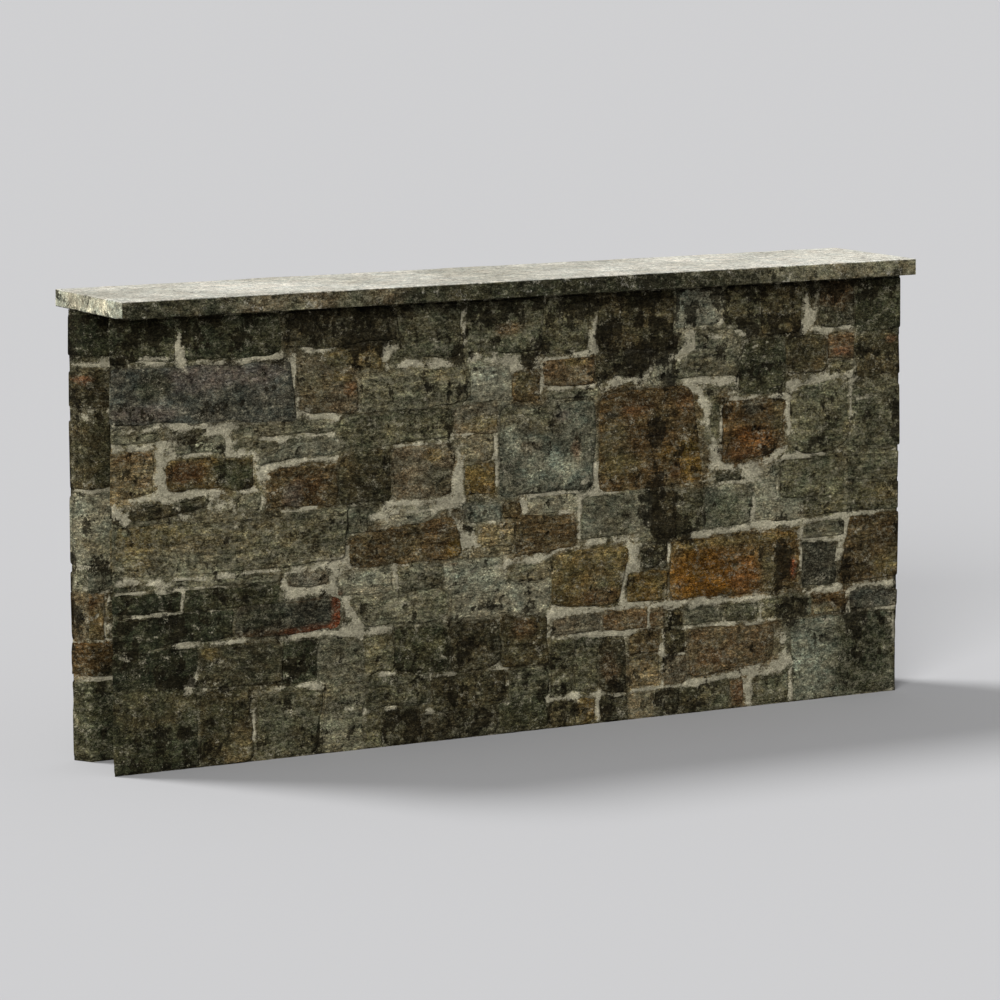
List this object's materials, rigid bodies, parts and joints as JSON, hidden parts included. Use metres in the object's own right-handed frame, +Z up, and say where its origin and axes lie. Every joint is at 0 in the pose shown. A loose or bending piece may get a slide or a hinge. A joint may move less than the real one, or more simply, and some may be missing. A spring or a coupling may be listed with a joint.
{
  "type": "mortared rubble stone wall bay",
  "caption": "Straight bay of a rubble stone wall: two coursed leaves on lime mortar beds around a set-back rubble core, open at both ends, under one flat overhanging coping slab.",
  "frame": {"origin": "centre of the bay's footprint, on the ground", "axes": "+X along the wall to the right as the front is faced, +Y from front to back, +Z up"},
  "size_m": [3, 0.495, 1.517],
  "materials": {
    "rubble_stone": "split rubble faces in browns, olives and slate greys, dark algae at the top",
    "lime_mortar": "pale sandy lime mortar, worn back from the stones",
    "core_rubble": "rough broken rubble packed in earth and lime",
    "coping_stone": "sawn slab with weathered grey top and grimy green edges"
  },
  "bodies": {
    "root": {"front_course_1": "rubble_stone", "front_course_2": "rubble_stone", "front_course_3": "rubble_stone", "front_course_4": "rubble_stone", "front_course_5": "rubble_stone", "front_course_6": "rubble_stone", "front_course_7": "rubble_stone", "front_bed_1": "lime_mortar", "front_bed_2": "lime_mortar", "front_bed_3": "lime_mortar", "front_bed_4": "lime_mortar", "front_bed_5": "lime_mortar", "front_bed_6": "lime_mortar", "front_bed_7": "lime_mortar", "back_course_1": "rubble_stone", "back_course_2": "rubble_stone", "back_course_3": "rubble_stone", "back_course_4": "rubble_stone", "back_course_5": "rubble_stone", "back_course_6": "rubble_stone", "back_course_7": "rubble_stone", "back_bed_1": "lime_mortar", "back_bed_2": "lime_mortar", "back_bed_3": "lime_mortar", "back_bed_4": "lime_mortar", "back_bed_5": "lime_mortar", "back_bed_6": "lime_mortar", "back_bed_7": "lime_mortar", "rubble_core": "core_rubble", "coping_slab": "coping_stone"}
  },
  "joints": []
}
